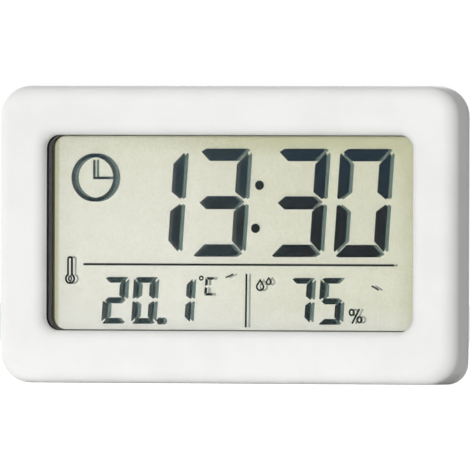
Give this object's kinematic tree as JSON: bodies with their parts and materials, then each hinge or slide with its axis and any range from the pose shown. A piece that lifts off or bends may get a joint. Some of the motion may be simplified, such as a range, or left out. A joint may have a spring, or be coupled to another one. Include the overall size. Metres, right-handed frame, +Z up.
{
  "type": "thermometer hygrometer clock",
  "caption": "Small white table clock with a display for time, temperature and humidity, a folding stand, a coin cell door, push buttons and a keyhole on its back.",
  "frame": {"origin": "middle of the base, half way through the depth, with the clock upright and its stand folded", "axes": "+X to the right of a reader, +Y from the face to the back, +Z up"},
  "size_m": [0.0948, 0.0142, 0.058],
  "materials": {
    "case_white": "fine satin moulding in white ABS",
    "lens_clear": "clear polished acrylic",
    "tape_black": "matt black tape",
    "gasket_grey": "dark grey closed-cell foam",
    "film": "thin tinted polarizing film",
    "display_glass": "flat glass with ground edges",
    "reflector_film": "fine-grained silvery green film",
    "carrier_white": "plain white moulding",
    "zebra_rubber": "silicone with fine carbon stripes",
    "board_green": "green solder mask on glass fibre",
    "resin_black": "cured black resin",
    "can_steel": "drawn steel can",
    "sensor_white": "white moulded body",
    "bead_black": "black epoxy bead",
    "chip_brown": "ceramic chips with tinned ends",
    "cell_steel": "nickel-plated steel with fine turning marks",
    "contact_nickel": "bent nickel strip",
    "screw_steel": "zinc-plated steel",
    "button_grey": "fine satin moulding in light grey",
    "switch_steel": "stamped steel cover",
    "plunger_black": "black moulding"
  },
  "bodies": {
    "clock": {"front_case": "case_white", "back_cover": "case_white", "window_lens": "lens_clear", "lens_tape": "tape_black", "dust_gasket": "gasket_grey", "front_polarizer": "film", "front_glass": "display_glass", "rear_glass": "display_glass", "reflector": "reflector_film", "display_carrier": "carrier_white", "upper_zebra_strip": "zebra_rubber", "lower_zebra_strip": "zebra_rubber", "main_board": "board_green", "chip_cover": "resin_black", "timing_crystal": "can_steel", "humidity_sensor": "sensor_white", "temperature_sensor": "bead_black", "board_chips": "chip_brown", "coin_cell": "cell_steel", "negative_contact": "contact_nickel", "positive_contact": "contact_nickel", "case_screws": "screw_steel", "board_screws": "screw_steel", "set_switch": "switch_steel", "adjust_switch": "switch_steel"},
    "folding_stand": {"stand": "case_white"},
    "door": {"cell_door": "case_white"},
    "set_key": {"set_button": "button_grey"},
    "adjust_key": {"adjust_button": "button_grey"},
    "set_key_plunger": {"set_plunger": "plunger_black"},
    "adjust_key_plunger": {"adjust_plunger": "plunger_black"}
  },
  "joints": [
    {"name": "stand_hinge", "type": "hinge", "parent": "clock", "child": "folding_stand", "pos_m": [0, 0.0059, 0.038], "axis": [1, 0, 0], "range_deg": [0, 36]},
    {"name": "door_turn", "type": "hinge", "parent": "clock", "child": "door", "pos_m": [-0.02745, 0.0065, 0.029], "axis": [0, 1, 0], "range_deg": [0, 40]},
    {"name": "set_press", "type": "slide", "parent": "clock", "child": "set_key", "axis": [0, -1, 0], "range_m": [0, 0.00025], "stiffness_N_per_m": 600, "springref_m": -0.0005},
    {"name": "adjust_press", "type": "slide", "parent": "clock", "child": "adjust_key", "axis": [0, -1, 0], "range_m": [0, 0.00025], "stiffness_N_per_m": 600, "springref_m": -0.0005},
    {"name": "set_plunger_travel", "type": "slide", "parent": "clock", "child": "set_key_plunger", "axis": [0, -1, 0], "range_m": [0, 0.00025]},
    {"name": "adjust_plunger_travel", "type": "slide", "parent": "clock", "child": "adjust_key_plunger", "axis": [0, -1, 0], "range_m": [0, 0.00025]}
  ],
  "couplings": [
    {"joint": "set_plunger_travel", "follows": "set_press", "ratio": 1},
    {"joint": "adjust_plunger_travel", "follows": "adjust_press", "ratio": 1}
  ]
}
